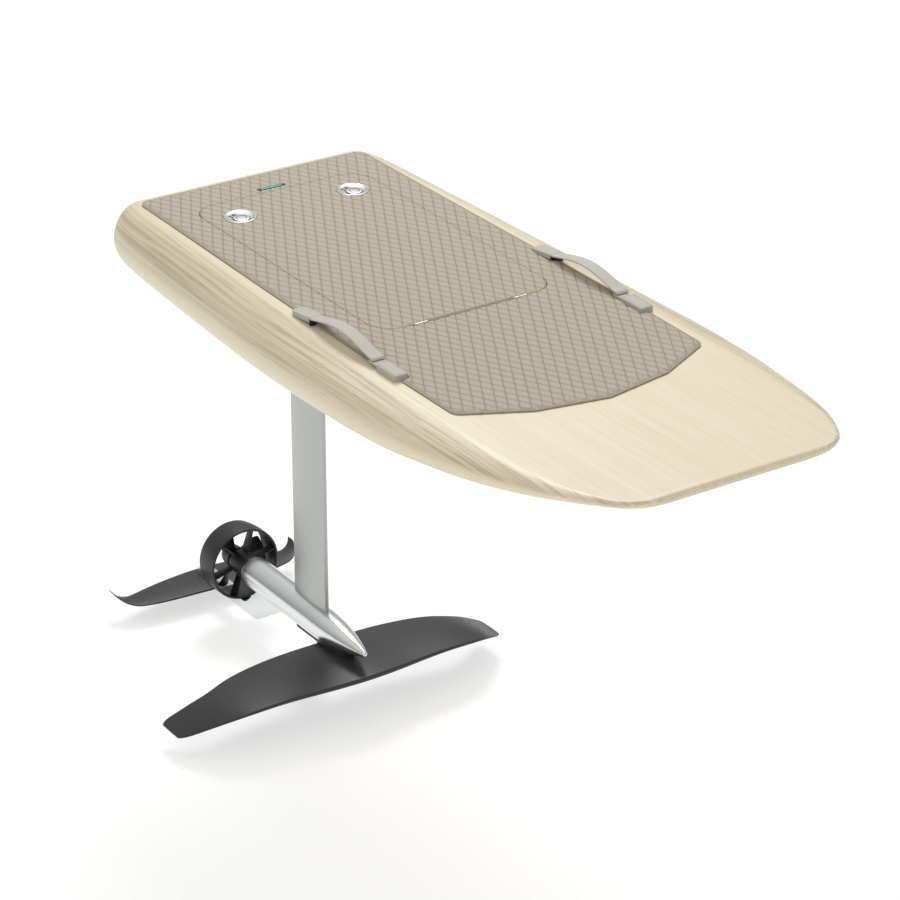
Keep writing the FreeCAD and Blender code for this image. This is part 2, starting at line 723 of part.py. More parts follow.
def make_propeller():
    hub_front = -duct_front - vane_chord - rotor_gap
    hub_rear = hub_front - propeller_hub_length
    tip_radius = duct_outer_radius - duct_wall - propeller_tip_gap
    middle_x = (hub_front + hub_rear) / 2
    hub = ring([(hub_front, 0), (hub_front, propeller_hub_radius), (hub_rear, propeller_hub_radius - 3),
                (hub_rear, 0)])
    rows = (
        (propeller_hub_radius * 0.5, blade_root_chord, blade_root_pitch, blade_thickness * 1.5),
        (propeller_hub_radius * 1.15, blade_root_chord * 1.1, blade_root_pitch * 0.92, blade_thickness * 1.3),
        (tip_radius * 0.75, blade_mid_chord, (blade_root_pitch + blade_tip_pitch) / 2, blade_thickness),
        (tip_radius + 6, blade_tip_chord, blade_tip_pitch, blade_thickness * 0.6),
    )
    blade = Part.makeLoft([blade_section(*row) for row in rows], True, False)
    tip_ring = Part.makeCylinder(tip_radius, 2 * blade_mid_chord, Vector(-blade_mid_chord, 0, 0),
                                 Vector(1, 0, 0))
    blade = blade.common(tip_ring)
    blade.translate(Vector(middle_x, 0, 0))
    propeller = hub
    for i in range(blade_count):
        turned = blade.copy()
        turned.rotate(Vector(0, 0, 0), Vector(1, 0, 0), -(blade_first_angle + i * 360.0 / blade_count))
        propeller = propeller.fuse(turned)
    stub = Part.makeCylinder(shaft_radius, rotor_gap + shaft_depth, Vector(hub_front, 0, 0), Vector(1, 0, 0))
    parts["propeller"] = pod_frame(propeller.fuse(stub).removeSplitter())
    cone_rear = hub_rear - cone_length
    edges = [
        Part.LineSegment(Vector(hub_rear, 0, 0), Vector(hub_rear, 0, propeller_hub_radius - 3)).toShape(),
        Part.Arc(Vector(hub_rear, 0, propeller_hub_radius - 3),
                 Vector(hub_rear - cone_length * 0.6, 0, propeller_hub_radius * 0.62),
                 Vector(cone_rear, 0, cone_tip_radius)).toShape(),
        Part.LineSegment(Vector(cone_rear, 0, cone_tip_radius), Vector(cone_rear, 0, 0)).toShape(),
        Part.LineSegment(Vector(cone_rear, 0, 0), Vector(hub_rear, 0, 0)).toShape(),
    ]
    cone = Part.Face(Part.Wire(edges)).revolve(Vector(0, 0, 0), Vector(1, 0, 0), 360)
    parts["propeller_nut"] = pod_frame(cone)


def wing(stations):
    rows = [(-y, lead, trail, below, thick) for y, lead, trail, below, thick in reversed(stations) if y > 0]
    rows += stations
    sections = []
    for y, lead, trail, below, thick in rows:
        wire = foil_outline(lead, trail, thick, min(wing_edge, thick / 3), wing_crest)
        wire.translate(Vector(0, y, -below))
        sections.append(wire)
    return Part.makeLoft(sections, True, False)


def make_wings():
    front = wing(front_wing_stations)
    rear = wing(rear_wing_stations)
    parts["front_wing"] = pod_frame(front)
    parts["rear_wing"] = pod_frame(rear)
    saddle = rounded_block(saddle_rear, saddle_front, -saddle_half_width, saddle_half_width,
                           -front_wing_stations[0][3], -saddle_top_below_axis, saddle_corner)
    saddle = saddle.fuse(rounded_block(saddle_tongue_rear, saddle_front - saddle_corner,
                                       -saddle_half_width, saddle_half_width,
                                       -pod_radius - saddle_tongue_depth, -saddle_top_below_axis,
                                       saddle_corner))
    saddle = pod_frame(saddle).cut(parts["pod"]).cut(parts["front_wing"])
    parts["wing_saddle"] = max(saddle.Solids, key=lambda s: s.Volume)


def make_boom():
    top = -boom_top_below_axis
    bottom = -boom_bottom_below_axis
    depth = boom_bottom_below_axis - boom_top_below_axis
    corners = [
        (-boom_leg_front, -pod_radius * 0.3, 0),
        (-boom_leg_front - 18, -pod_radius - 4, 60),
        (-boom_elbow + 34, bottom, 70),
        (-boom_end, bottom, depth * 0.45),
        (-boom_end, top, depth * 0.45),
        (-boom_elbow - 14, top, 40),
        (-boom_leg_rear, -pod_radius * 0.7, 0),
    ]
    face = rounded_outline(corners)
    face.rotate(Vector(0, 0, 0), Vector(1, 0, 0), 90)
    face.translate(Vector(0, boom_half_width, 0))
    boom = face.extrude(Vector(0, -2 * boom_half_width, 0))
    boom = pod_frame(boom).cut(parts["pod"]).cut(parts["duct"]).cut(parts["rear_wing"])
    boom = boom.cut(parts["stator"])
    parts["tail_boom"] = max(boom.Solids, key=lambda s: s.Volume)


parts["hull"] = make_hull()
parts["deck_pad"] = make_deck_pad()
parts["battery"] = rounded_block(battery_x - battery_length / 2, battery_x + battery_length / 2,
                                 -battery_width / 2, battery_width / 2,
                                 bay_floor_z, bay_floor_z + battery_height, battery_corner)
parts["bay_gasket"] = make_gasket()
make_status_light()
make_hatch()
make_latches()
make_hinges()
make_handles()
make_pod()
make_mast()
make_duct()
make_propeller()
make_wings()
make_boom()

os.makedirs("parts", exist_ok=True)
for name, shape in parts.items():
    shape.exportStep("parts/" + name + ".step")
    print(name, "solids", len(shape.Solids), "valid", shape.isValid(), "volume cm3", round(shape.Volume / 1000, 1))
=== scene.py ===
import json
import math
import bmesh
import bpy
import numpy as np
from mathutils import Matrix, Vector


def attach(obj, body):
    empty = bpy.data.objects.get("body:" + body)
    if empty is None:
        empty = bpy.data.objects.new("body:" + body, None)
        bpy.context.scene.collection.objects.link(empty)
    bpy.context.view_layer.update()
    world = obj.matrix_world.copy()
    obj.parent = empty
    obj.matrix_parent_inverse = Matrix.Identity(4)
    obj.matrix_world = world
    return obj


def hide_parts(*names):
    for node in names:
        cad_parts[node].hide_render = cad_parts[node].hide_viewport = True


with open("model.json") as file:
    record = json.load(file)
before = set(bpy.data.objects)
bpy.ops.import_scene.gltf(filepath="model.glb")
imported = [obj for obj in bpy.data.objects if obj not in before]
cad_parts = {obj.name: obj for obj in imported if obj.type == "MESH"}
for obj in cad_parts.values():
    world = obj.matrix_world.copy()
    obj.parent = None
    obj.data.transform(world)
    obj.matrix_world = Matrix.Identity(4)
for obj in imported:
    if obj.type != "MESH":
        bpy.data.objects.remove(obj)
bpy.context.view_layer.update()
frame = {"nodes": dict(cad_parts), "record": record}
nodes = frame["nodes"]
print("frame loaded:", len(nodes), "nodes")

# Camera at the photograph's angle. Its axes were solved from the pad's lattice.
view = {
    "place": (4.99295, -3.32065, 2.75141),
    "right": (0.549575, 0.835444, 0.000782),
    "down": (0.370678, -0.243001, -0.896409),
    "forward": (-0.748710, 0.492933, -0.443228),
    "lens": 134.416,
    "sensor": 36,
    "farthest": 100,
}
cameraData = bpy.data.cameras.new("camera")
cameraData.lens = view["lens"]
cameraData.sensor_width = view["sensor"]
cameraData.clip_end = view["farthest"]
camera = bpy.data.objects.new("camera", cameraData)
up = -Vector(view["down"])
back = -Vector(view["forward"])
turn = Matrix((Vector(view["right"]), up, back)).transposed()
camera.matrix_world = Matrix.Translation(view["place"]) @ turn.to_4x4()
bpy.context.collection.objects.link(camera)
bpy.context.scene.camera = camera

# Studio: pale floor below the wings, white surroundings and soft lamps
studio = {
    "floorHeight": -1.035,
    "floorSize": 60.0,
    "floorColour": "#B8B8B8",
    "floorRoughness": 0.9,
    "floorGlow": 0.60,
    "skyStrength": 0.78,
    "skyGreys": [(0.0, 0.30), (0.3, 0.60), (0.85, 1.0)],
    "keyEnergy": 190.0,
    "keySize": 2.4,
    "keyPlace": (-3.6, 2.2, 5.0),
    "keyAim": (0, 0, 0),
    "fillEnergy": 14.0,
    "fillSize": 2.0,
    "fillPlace": (1.2, -3.6, 2.2),
    "fillAim": (-0.4, 0, -0.6),
}


def linearColour(code):
    # sRGB hex to linear: the low part is divided by 12.92, the rest is raised to 2.4
    parts = np.array([int(code[i:i + 2], 16) for i in (1, 3, 5)]) / 255
    line = np.where(parts <= 0.04045, parts / 12.92, ((parts + 0.055) / 1.055) ** 2.4)
    return (*line.tolist(), 1.0)


def node(tree, kind, inputs=None, stops=None, **settings):
    # Adds one node, sets its properties, then sets or links its input sockets. A colour ramp also
    # gets stops: pairs of a place and a hex colour or a grey level.
    made = tree.nodes.new(kind)
    for name, value in settings.items():
        setattr(made, name, value)
    for key, value in (inputs or {}).items():
        if isinstance(value, bpy.types.NodeSocket):
            tree.links.new(value, made.inputs[key])
        else:
            made.inputs[key].default_value = value
    if stops:
        elements = made.color_ramp.elements
        while len(elements) < len(stops):
            elements.new(0.5)
        for element, (place, tone) in zip(elements, stops):
            element.position = place
            element.color = linearColour(tone) if isinstance(tone, str) else (tone, tone, tone, 1)
    return made


def newMaterial(name):
    material = bpy.data.materials.new(name)
    material.use_nodes = True
    tree = material.node_tree
    tree.nodes.clear()
    surface = node(tree, "ShaderNodeBsdfPrincipled")
    node(tree, "ShaderNodeOutputMaterial", {"Surface": surface.outputs["BSDF"]})
    return material, tree, surface


world = bpy.data.worlds.new("studio")
bpy.context.scene.world = world
world.use_nodes = True
skyTree = world.node_tree
skyTree.nodes.clear()
skyWay = node(skyTree, "ShaderNodeTexCoord")
skyPart = node(skyTree, "ShaderNodeSeparateXYZ", {"Vector": skyWay.outputs["Generated"]})
skyGrey = node(skyTree, "ShaderNodeValToRGB", {"Fac": skyPart.outputs["Z"]}, studio["skyGreys"])
skyShade = node(skyTree, "ShaderNodeBackground",
                {"Color": skyGrey.outputs["Color"], "Strength": studio["skyStrength"]})
node(skyTree, "ShaderNodeOutputWorld", {"Surface": skyShade.outputs["Background"]})


def areaLamp(name):
    data = bpy.data.lights.new(name, "AREA")
    data.shape = "DISK"
    data.size = studio[name + "Size"]
    data.energy = studio[name + "Energy"]
    lamp = bpy.data.objects.new(name, data)
    place = Vector(studio[name + "Place"])
    way = place - Vector(studio[name + "Aim"])
    lamp.matrix_world = Matrix.Translation(place) @ way.to_track_quat("Z", "Y").to_matrix().to_4x4()
    bpy.context.collection.objects.link(lamp)


areaLamp("key")
areaLamp("fill")

half = studio["floorSize"] / 2
floorMesh = bpy.data.meshes.new("floor")
floorCorners = [(-half, -half, 0), (half, -half, 0), (half, half, 0), (-half, half, 0)]
floorMesh.from_pydata(floorCorners, [], [(0, 1, 2, 3)])
floorMesh.transform(Matrix.Translation((0, 0, studio["floorHeight"])))
floor = bpy.data.objects.new("floor", floorMesh)
bpy.context.collection.objects.link(floor)
floorMaterial, floorTree, floorSurface = newMaterial("matt_white_floor")
floorSurface.inputs["Base Color"].default_value = linearColour(studio["floorColour"])
floorSurface.inputs["Roughness"].default_value = studio["floorRoughness"]
floorSurface.inputs["Specular IOR Level"].default_value = 0.0
floorSurface.inputs["Emission Color"].default_value = (1, 1, 1, 1)
floorSurface.inputs["Emission Strength"].default_value = studio["floorGlow"]
floorMesh.materials.append(floorMaterial)
bpy.context.scene.view_settings.view_transform = "Standard"
print("studio ready")

# Ash veneer: ring-porous wood, so dark pores run in bands along the grain; satin varnish over it.
# Spacings, pore sizes and bump depth are in metres.
veneer = {
    "light": "#EADFC6",
    "mid": "#D9CDAE",
    "band": "#C2B590",
    "pore": "#9C8E6C",
    "rail": "#E8DCBC",
    "lineSpacing": 0.0075,
    "bandSpacing": 0.055,
    "poreLength": 0.055,
    "poreWidth": 0.0011,
    "poreShare": 0.75,
    "poreDepth": 0.0003,
    "waviness": 0.03,
    "roughness": 0.42,
    "varnish": 0.15,
    "varnishRoughness": 0.3,
}
ash, tree, surface = newMaterial("ash_veneer_satin_varnish")
grainPlace = node(tree, "ShaderNodeAttribute", attribute_name="grain")
grainParts = node(tree, "ShaderNodeSeparateXYZ", {"Vector": grainPlace.outputs["Vector"]})
along, across, rail = grainParts.outputs


def stretched(alongScale, sideways, acrossScale):
    # Place in the grain's own directions, each times its own scale
    x = node(tree, "ShaderNodeMath", {0: along, 1: alongScale}, operation="MULTIPLY")
    y = node(tree, "ShaderNodeMath", {0: sideways, 1: acrossScale}, operation="MULTIPLY")
    return node(tree, "ShaderNodeCombineXYZ", {"X": x.outputs[0], "Y": y.outputs[0]}).outputs[0]


def grainNoise(place, **inputs):
    return node(tree, "ShaderNodeTexNoise", {"Vector": place, "Scale": 1.0, **inputs}).outputs["Fac"]


def grainMask(fac, *stops):
    return node(tree, "ShaderNodeValToRGB", {"Fac": fac}, stops).outputs["Color"]


def product(first, second):
    return node(tree, "ShaderNodeMath", {0: first, 1: second}, operation="MULTIPLY").outputs[0]


def tinted(factor, first, second):
    inputs = {"Factor": factor, "A": first, "B": second}
    return node(tree, "ShaderNodeMix", inputs, data_type="RGBA").outputs["Result"]


drift = grainNoise(stretched(1.3, across, 9.0), Detail=2.0)
bent = node(tree, "ShaderNodeMath", {0: drift, 1: veneer["waviness"], 2: across},
            operation="MULTIPLY_ADD").outputs[0]
bands = grainNoise(stretched(0.9, bent, 1 / veneer["bandSpacing"]), Detail=3.0, Roughness=0.6)
lines = grainNoise(stretched(2.2, bent, 1 / veneer["lineSpacing"]), Detail=4.0, Roughness=0.65)
pores = grainNoise(stretched(1 / veneer["poreLength"], bent, 1 / veneer["poreWidth"] / 2), Detail=2.0)
bandMask = grainMask(bands, (0.38, 0.0), (0.68, 1.0))
lineMask = grainMask(lines, (0.44, 0.0), (0.66, 1.0))
poreMask = grainMask(pores, (0.54, 0.0), (0.70, 1.0))
# Partly painted shade: the side's upper part faces sideways and is given a darker, more streaked colour than
# the deck as painted shade, though the grain itself is real; the lower rail has no grain
sideGrainAndShadeMask = grainMask(rail, (0.50, 0.0), (0.62, 1.0), (0.90, 1.0), (1.0, 0.35))
sideShadeLineStrength = grainMask(rail, (0.80, 1.0), (1.0, 0.55))
banded = tinted(bandMask, linearColour(veneer["light"]), linearColour(veneer["mid"]))
lined = tinted(product(lineMask, sideShadeLineStrength), banded, linearColour(veneer["band"]))
poreBand = product(poreMask, lineMask)
pored = tinted(product(poreBand, veneer["poreShare"]), lined, linearColour(veneer["pore"]))
finished = tinted(sideGrainAndShadeMask, linearColour(veneer["rail"]), pored)
tree.links.new(finished, surface.inputs["Base Color"])
poreBump = node(tree, "ShaderNodeBump", {
    "Height": product(poreBand, sideGrainAndShadeMask), "Strength": 0.25, "Distance": veneer["poreDepth"]}, invert=True)
tree.links.new(poreBump.outputs["Normal"], surface.inputs["Normal"])
surface.inputs["Roughness"].default_value = veneer["roughness"]
surface.inputs["IOR"].default_value = 1.5
surface.inputs["Coat Weight"].default_value = veneer["varnish"]
surface.inputs["Coat Roughness"].default_value = veneer["varnishRoughness"]


def speckled(name, code, roughness, grainSize, depth, darker=0.9, metallic=0.0, ior=None, spread=0.0):
    # One tone with a fine noise in colour and height; grainSize and depth in metres. With a spread,
    # the roughness wanders by that much in patches about 70 mm wide, as on a handled surface.
    material, tree, surface = newMaterial(name)
    place = node(tree, "ShaderNodeTexCoord").outputs["Object"]
    noise = node(tree, "ShaderNodeTexNoise",
                 {"Vector": place, "Scale": 1 / grainSize, "Detail": 3.0, "Roughness": 0.6})
    tone = linearColour(code)
    low = (*[c * darker for c in tone[:3]], 1)
    mask = node(tree, "ShaderNodeValToRGB", {"Fac": noise.outputs["Fac"]}, [(0.3, 0.0), (0.7, 1.0)])
    mix = node(tree, "ShaderNodeMix", {"Factor": mask.outputs["Color"], "A": low, "B": tone},
               data_type="RGBA")
    tree.links.new(mix.outputs["Result"], surface.inputs["Base Color"])
    bump = node(tree, "ShaderNodeBump",
                {"Height": noise.outputs["Fac"], "Strength": 0.5, "Distance": depth})
    tree.links.new(bump.outputs["Normal"], surface.inputs["Normal"])
    if spread:
        wear = node(tree, "ShaderNodeTexNoise", {"Vector": place, "Scale": 14.0, "Detail": 4.0})
        rough = node(tree, "ShaderNodeMapRange", {
            "Value": wear.outputs["Fac"], "From Min": 0.3, "From Max": 0.7,
            "To Min": roughness - spread, "To Max": roughness + spread})
        tree.links.new(rough.outputs[0], surface.inputs["Roughness"])
    surface.inputs["Roughness"].default_value = roughness
    surface.inputs["Metallic"].default_value = metallic
    if ior:
        surface.inputs["IOR"].default_value = ior
    return material


# Closed-cell EVA foam, heat embossed: dry and matte, with painted shade in the grooves, which are coloured a
# little darker than the tops
foam = {"top": "#BDB5A3", "groove": "#A9A190", "cellSize": 0.0007, "cellDepth": 0.0002}
eva, tree, surface = newMaterial("EVA_foam_embossed")
heightPlace = node(tree, "ShaderNodeAttribute", attribute_name="raised")
foamPlace = node(tree, "ShaderNodeTexCoord").outputs["Object"]
foamNoise = node(tree, "ShaderNodeTexNoise",
                 {"Vector": foamPlace, "Scale": 1 / foam["cellSize"], "Detail": 2.0})
# Painted shade: the cells' height share blends the darker groove colour into the grooves, standing for the
# shade there
grooveShadeTone = node(tree, "ShaderNodeMix", {
    "Factor": heightPlace.outputs["Fac"], "A": linearColour(foam["groove"]),
    "B": linearColour(foam["top"])}, data_type="RGBA")
foamMask = node(tree, "ShaderNodeValToRGB", {"Fac": foamNoise.outputs["Fac"]}, [(0.25, 0.90), (0.75, 1.0)])
foamColour = node(tree, "ShaderNodeMix", {
    "Factor": 1.0, "A": grooveShadeTone.outputs["Result"], "B": foamMask.outputs["Color"]},
    data_type="RGBA", blend_type="MULTIPLY")
tree.links.new(foamColour.outputs["Result"], surface.inputs["Base Color"])
foamBump = node(tree, "ShaderNodeBump",
                {"Height": foamNoise.outputs["Fac"], "Strength": 0.4, "Distance": foam["cellDepth"]})
tree.links.new(foamBump.outputs["Normal"], surface.inputs["Normal"])
surface.inputs["Roughness"].default_value = 0.85
surface.inputs["Specular IOR Level"].default_value = 0.3

# Bead-blasted and anodised aluminium on the mast, brighter and smoother on the pod and boom
mastMetal = speckled("aluminium_bead_blasted_anodised", "#B4B7B3", 0.38, 0.0016, 0.00004, 0.96, 1.0)
podMetal = speckled("aluminium_satin_polished", "#E4E7E6", 0.24, 0.0016, 0.00002, 0.97, 1.0)
# Satin stainless steel: bright with a soft, barely grained sheen
steel = speckled("stainless_steel_satin", "#DDDBD6", 0.3, 0.0008, 0.00002, 0.95, 1.0)
# Carbon fibre laminate under matt clear coat; its fine weave shows only as a soft speckle
carbon = speckled("carbon_laminate_matt_clear", "#2E2F30", 0.42, 0.0012, 0.00005, 0.85, 0.0, 1.5, 0.05)
# Glass-filled nylon mouldings: dark grey, fine spark-eroded texture
nylon = speckled("glass_filled_nylon_moulded", "#232425", 0.45, 0.0008, 0.00008, 0.8, 0.0, 1.5, 0.05)
# Moulded TPU: smooth and dull, the foam's own tone
rubber = speckled("TPU_rubber_moulded", "#BDB9AE", 0.6, 0.0009, 0.00006, 0.95)
darkRubber = speckled("EPDM_rubber_seal", "#1C1C1C", 0.7, 0.0009, 0.00006, 0.8)
# Moulded ABS: dark with a fine even grain
caseMaterial = speckled("ABS_case_moulded", "#2A2A2C", 0.5, 0.001, 0.0001, 0.85)
# Polycarbonate lens: glossy and nearly black
lens = speckled("polycarbonate_smoked_lens", "#26292A", 0.15, 0.002, 0.00001, 0.9, 0.0, 1.58)

# Acrylic light bar: an even teal, faintly lit from within
teal, tealTree, tealSurface = newMaterial("acrylic_light_bar_teal")
tealPlace = node(tealTree, "ShaderNodeTexCoord").outputs["Object"]
tealNoise = node(tealTree, "ShaderNodeTexNoise", {"Vector": tealPlace, "Scale": 400.0})
tealTone = node(tealTree, "ShaderNodeValToRGB", {"Fac": tealNoise.outputs["Fac"]},
                [(0.3, "#2FA9B2"), (0.7, "#52CBD2")])
tealTree.links.new(tealTone.outputs["Color"], tealSurface.inputs["Base Color"])
tealTree.links.new(tealTone.outputs["Color"], tealSurface.inputs["Emission Color"])
tealSurface.inputs["Emission Strength"].default_value = 0.35
tealSurface.inputs["Roughness"].default_value = 0.3

# Woven polyester webbing faced with TPU: fine ribs across the strap, their spacing in metres
ribSpacing = 0.0021
webbing, tree, surface = newMaterial("polyester_webbing_coated")
webPlace = node(tree, "ShaderNodeTexCoord").outputs["Object"]
ribs = node(tree, "ShaderNodeTexWave", {
    "Vector": webPlace, "Scale": 1 / ribSpacing / 2 / math.pi * 2, "Distortion": 0.3, "Detail": 1.0},
    bands_direction="X")
webTone = node(tree, "ShaderNodeValToRGB", {"Fac": ribs.outputs["Fac"]}, [(0.0, "#B6B1A6"), (1.0, "#C6C2B8")])
tree.links.new(webTone.outputs["Color"], surface.inputs["Base Color"])
webBump = node(tree, "ShaderNodeBump", {"Height": ribs.outputs["Fac"], "Strength": 0.25, "Distance": 0.0001})
tree.links.new(webBump.outputs["Normal"], surface.inputs["Normal"])
surface.inputs["Roughness"].default_value = 0.65
surface.inputs["Sheen Weight"].default_value = 0.15

finishes = {
    "ash_veneer": ash,
    "foam_pad": eva,
    "battery_case": caseMaterial,
    "seal_rubber": darkRubber,
    "smoked_lens": lens,
    "teal_light": teal,
    "satin_steel": steel,
    "black_moulding": nylon,
    "anchor_rubber": rubber,
    "strap_webbing": webbing,
    "anodised_aluminium": mastMetal,
    "bright_aluminium": podMetal,
    "carbon_laminate": carbon,
}
slotOf = {part["node"]: part["material_slot"] for part in frame["record"]["subparts"]}
for name, piece in nodes.items():
    for place in piece.material_slots:
        place.material = finishes[slotOf[name]]
print("materials:", len(finishes))


def addMesh(name, points, faces, slotName="ash_veneer", body="board"):
    # points: N by 3 array in metres; faces: list of index tuples or an M by 4 array
    mesh = bpy.data.meshes.new(name)
    faceList = faces if isinstance(faces, list) else faces.tolist()
    mesh.from_pydata(points.reshape(-1, 3).tolist(), [], faceList)
    mesh.update()
    mesh.materials.append(finishes[slotName])
    piece = bpy.data.objects.new(name, mesh)
    bpy.context.collection.objects.link(piece)
    if body:
        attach(piece, body)
    return piece


def gridFaces(rows, columns):
    # Quads of a rows by columns grid whose last column joins its first
    index = np.arange(rows * columns).reshape(rows, columns)
    following = np.roll(index, -1, axis=1)
    quads = np.stack([index[:-1], following[:-1], following[1:], index[1:]], axis=-1)
    return quads.reshape(-1, 4)


def tubeFaces(rows, columns):
    # Closed tube of rings with a flat cap at each end
    first = list(range(columns))
    last = list(range((rows - 1) * columns, rows * columns))
    return gridFaces(rows, columns).tolist() + [first[::-1], last]


def outwards(piece):
    # Merges doubles and turns every face outwards
    shape = bmesh.new()
    shape.from_mesh(piece.data)
    bmesh.ops.remove_doubles(shape, verts=shape.verts, dist=1e-7)
    bmesh.ops.recalc_face_normals(shape, faces=shape.faces)
    shape.to_mesh(piece.data)
    shape.free()


def smooth(piece, sharpFrom):
    # Smooth shading, with edges kept sharp from an angle in degrees
    piece.data.shade_smooth()
    piece.data.set_sharp_from_angle(angle=math.radians(sharpFrom))


def cutWith(piece, tools, operation="DIFFERENCE"):
    # Boolean by each tool in turn, applied to the mesh; the tools are removed
    for tool in tools:
        modifier = piece.modifiers.new("cut", "BOOLEAN")
        modifier.operation = operation
        modifier.solver = "MANIFOLD"
        modifier.object = tool
        seen = bpy.context.evaluated_depsgraph_get()
        mesh = bpy.data.meshes.new_from_object(
            piece.evaluated_get(seen), preserve_all_data_layers=True, depsgraph=seen)
        piece.modifiers.clear()
        piece.data = mesh
        bpy.data.objects.remove(tool)


def roundedOutline(corners, steps=8):
    # corners: x, y, radius in mm, anticlockwise; a corner's arc is swept about its centre
    points = []
    count = len(corners)
    spots = [Vector(c[:2]) for c in corners]
    for i, (x, y, radius) in enumerate(corners):
        toLast = (spots[i - 1] - spots[i]).normalized()
        toNext = (spots[(i + 1) % count] - spots[i]).normalized()
        if radius == 0:
            points.append(np.array([[x, y]]))
            continue
        halfAngle = toLast.angle(toNext) / 2
        centre = spots[i] + (toLast + toNext).normalized() * radius / math.sin(halfAngle)
        start = spots[i] + toLast * radius / math.tan(halfAngle) - centre
        sweep = math.pi - 2 * halfAngle
        angles = math.atan2(start.y, start.x) + np.linspace(0, sweep, steps)
        arc = [centre.x + radius * np.cos(angles), centre.y + radius * np.sin(angles)]
        points.append(np.stack(arc, axis=1))
    return np.concatenate(points)


def roundedBox(x0, x1, y0, y1, radius, steps=8):
    return roundedOutline([(x0, y0, radius), (x1, y0, radius), (x1, y1, radius), (x0, y1, radius)], steps)


def prism(outline, low, high):
    # Straight-sided cutting block over an outline in mm, from low to high
    ring = outline / 1000
    rows = [np.column_stack([ring, np.full(len(ring), z / 1000)]) for z in (low, high)]
    return addMesh("cutter", np.concatenate(rows), tubeFaces(2, len(ring)), body=None)


# Board: the solid hull's own table. Columns: share of half the length, share of half the beam,
# drop of the deck, lift of the bottom, width of the shoulder, width of the tuck (all in mm), and
# the height of the widest line as a share of the depth. Cuts: the hatch's rebate and the bay under
# it, and the mast plate's seat, as rear, front, low side, high side, corner radius, low, high.
hull = {
    "length": 1757.0,
    "beam": 770.0,
    "deck": 96.0,
    "draught": 38.0,
    "endRound": 9.0,
    "endShare": 0.55,
    "alongSteps": 260,
    "aroundSteps": 28,
    "stations": [
        (-1.000, 0.664, 46.0, 33.0, 30.0, 26.0, 0.46),
        (-0.994, 0.738, 27.0, 20.0, 43.0, 34.0, 0.44),
        (-0.978, 0.803, 11.0, 11.0, 56.0, 44.0, 0.42),
        (-0.950, 0.853, 2.0, 6.0, 64.0, 50.0, 0.41),
        (-0.890, 0.888, 0.0, 3.0, 70.0, 54.0, 0.41),
        (-0.700, 0.917, 0.0, 0.0, 74.0, 55.0, 0.41),
        (-0.350, 0.958, 0.0, 0.0, 80.0, 55.0, 0.41),
        (0.000, 0.990, 0.0, 12.0, 87.0, 54.0, 0.42),
        (0.280, 1.000, 0.0, 32.0, 88.0, 51.0, 0.43),
        (0.480, 0.968, 0.0, 55.0, 72.0, 42.0, 0.44),
        (0.640, 0.912, 0.0, 76.0, 52.0, 32.0, 0.45),
        (0.780, 0.838, -2.0, 98.0, 32.0, 26.0, 0.47),
        (0.870, 0.767, -4.5, 113.0, 21.0, 25.0, 0.50),
        (0.930, 0.698, -6.5, 121.0, 15.0, 28.0, 0.50),
        (0.968, 0.637, -8.0, 124.5, 12.0, 28.0, 0.50),
        (0.988, 0.577, -9.0, 126.0, 10.0, 28.0, 0.50),
        (0.997, 0.515, -9.0, 126.0, 8.0, 26.0, 0.50),
        (1.000, 0.450, -7.5, 124.5, 7.0, 22.0, 0.50),
    ],
    "rebateGrow": 4.0,
    "rebateFloor": 74.7,
    "bay": (-696, -3, -182, 182, 16, -18, 120),
    "plateSeat": (-732, -480, -61, 61, 24, -80, -37),
    "sharpFrom": 32,
}
table = np.array(hull["stations"])
steps = np.diff(table, axis=0)
slopes = steps[:, 1:] / steps[:, :1]
tangents = np.zeros_like(table[:, 1:])
same = slopes[:-1] * slopes[1:] > 0
total = slopes[:-1] + slopes[1:]
tangents[1:-1] = np.where(same, 2 * slopes[:-1] * slopes[1:] / np.where(same, total, 1), 0)


def stationsAt(share):
    # Rows of the table at any share of half the length: monotone cubic curves between its rows
    i = np.clip(np.searchsorted(table[:, 0], share, side="right") - 1, 0, len(table) - 2)
    span = (table[i + 1, 0] - table[i, 0])[:, None]
    t = (share[:, None] - table[i, 0][:, None]) / span
    low = table[i, 1:]
    high = table[i + 1, 1:]
    leave = tangents[i] * span
    arrive = tangents[i + 1] * span
    rows = (2 * t**3 - 3 * t**2 + 1) * low + (t**3 - 2 * t**2 + t) * leave
    rows = rows + (3 * t**2 - 2 * t**3) * high + (t**3 - t**2) * arrive
    beam, drop, lift, shoulder, tuck, apex = rows.T
    top = hull["deck"] - drop
    bottom = -hull["draught"] + lift
    return beam * hull["beam"] / 2, top, bottom, shoulder, tuck, bottom + apex * (top - bottom)


def hullSurface(u, v):
    # u runs from tail to nose, v once round the section: flat deck, quarter ellipse down to the
    # widest line, quarter ellipse in to the flat bottom, then the same on the other side
    share = -np.cos(np.pi * u)
    reach, top, bottom, shoulder, tuck, apex = [c[:, None] for c in stationsAt(share)]
    angle = v[None, :]
    lift = np.sin(angle)
    out = np.cos(angle)
    upper = lift >= 0
    width = np.where(upper, shoulder, tuck)
    height = np.where(upper, top - apex, apex - bottom)
    y = reach - width + width * np.maximum(out, 0)
    z = apex + height * lift
    x = np.repeat(share[:, None] * hull["length"] / 2, len(v), axis=1)
    # The last millimetres at each end close in a quarter circle towards the middle height
    near = np.clip(1 - (hull["length"] / 2 - np.abs(x)) / hull["endRound"], 0, 1)
    middle = (top + bottom) / 2
    z = middle + (z - middle) * (1 - hull["endShare"] * (1 - np.sqrt(1 - near**2)))
    return np.stack([x, y, z], axis=-1) / 1000


u = np.linspace(0, 1, hull["alongSteps"])
quarter = np.linspace(-math.pi / 2, math.pi / 2, 2 * hull["aroundSteps"] + 1)
portSide = hullSurface(u, quarter)
starboardSide = portSide[:, ::-1] * [1, -1, 1]
rings = np.concatenate([portSide, starboardSide], axis=1)
board = addMesh("board_hull", rings, tubeFaces(rings.shape[0], rings.shape[1]))
outwards(board)

